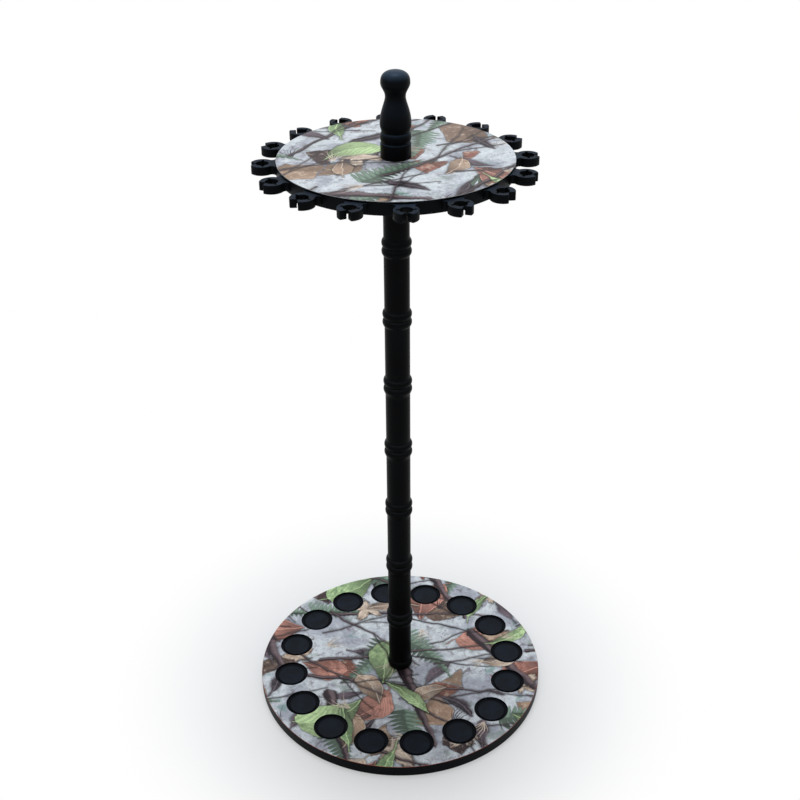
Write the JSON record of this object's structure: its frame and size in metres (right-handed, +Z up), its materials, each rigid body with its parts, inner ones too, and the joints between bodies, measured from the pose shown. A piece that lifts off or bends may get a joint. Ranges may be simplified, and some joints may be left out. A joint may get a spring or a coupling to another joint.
{
  "type": "fishing rod rack",
  "caption": "Round floor rack for fishing rods: base disc with shallow cups for the butts, turned post, smaller top disc with rubber clips around its edge, and a turned carrying knob.",
  "frame": {"origin": "centre of the underside of the base disc, on the floor", "axes": "+Z up along the post, -Y towards the front of the picture, +X to its right"},
  "size_m": [0.3939, 0.394, 0.8696],
  "materials": {
    "painted_board": "black satin paint on fibreboard",
    "printed_sheet": "satin decor sheet with a printed camouflage of leaves and twigs",
    "painted_wood": "black semi-gloss paint on turned wood",
    "foam_pad": "matt black foam",
    "clip_rubber": "matt black moulded rubber",
    "plated_steel": "zinc-plated",
    "brass_insert": "plain"
  },
  "bodies": {
    "root": {"base_board": "painted_board", "base_laminate": "printed_sheet", "base_bolt": "plated_steel", "base_washer": "plated_steel", "post": "painted_wood", "post_inserts": "brass_insert", "top_board": "painted_board", "top_laminate": "printed_sheet", "clip_screws": "plated_steel", "handle": "painted_wood", "handle_stud": "plated_steel", "cup_pad_01": "foam_pad", "cup_pad_02": "foam_pad", "cup_pad_03": "foam_pad", "cup_pad_04": "foam_pad", "cup_pad_05": "foam_pad", "cup_pad_06": "foam_pad", "cup_pad_07": "foam_pad", "cup_pad_08": "foam_pad", "cup_pad_09": "foam_pad", "cup_pad_10": "foam_pad", "cup_pad_11": "foam_pad", "cup_pad_12": "foam_pad", "cup_pad_13": "foam_pad", "cup_pad_14": "foam_pad", "cup_pad_15": "foam_pad", "cup_pad_16": "foam_pad", "clip_01": "clip_rubber", "clip_02": "clip_rubber", "clip_03": "clip_rubber", "clip_04": "clip_rubber", "clip_05": "clip_rubber", "clip_06": "clip_rubber", "clip_07": "clip_rubber", "clip_08": "clip_rubber", "clip_09": "clip_rubber", "clip_10": "clip_rubber", "clip_11": "clip_rubber", "clip_12": "clip_rubber", "clip_13": "clip_rubber", "clip_14": "clip_rubber", "clip_15": "clip_rubber", "clip_16": "clip_rubber"}
  },
  "joints": []
}
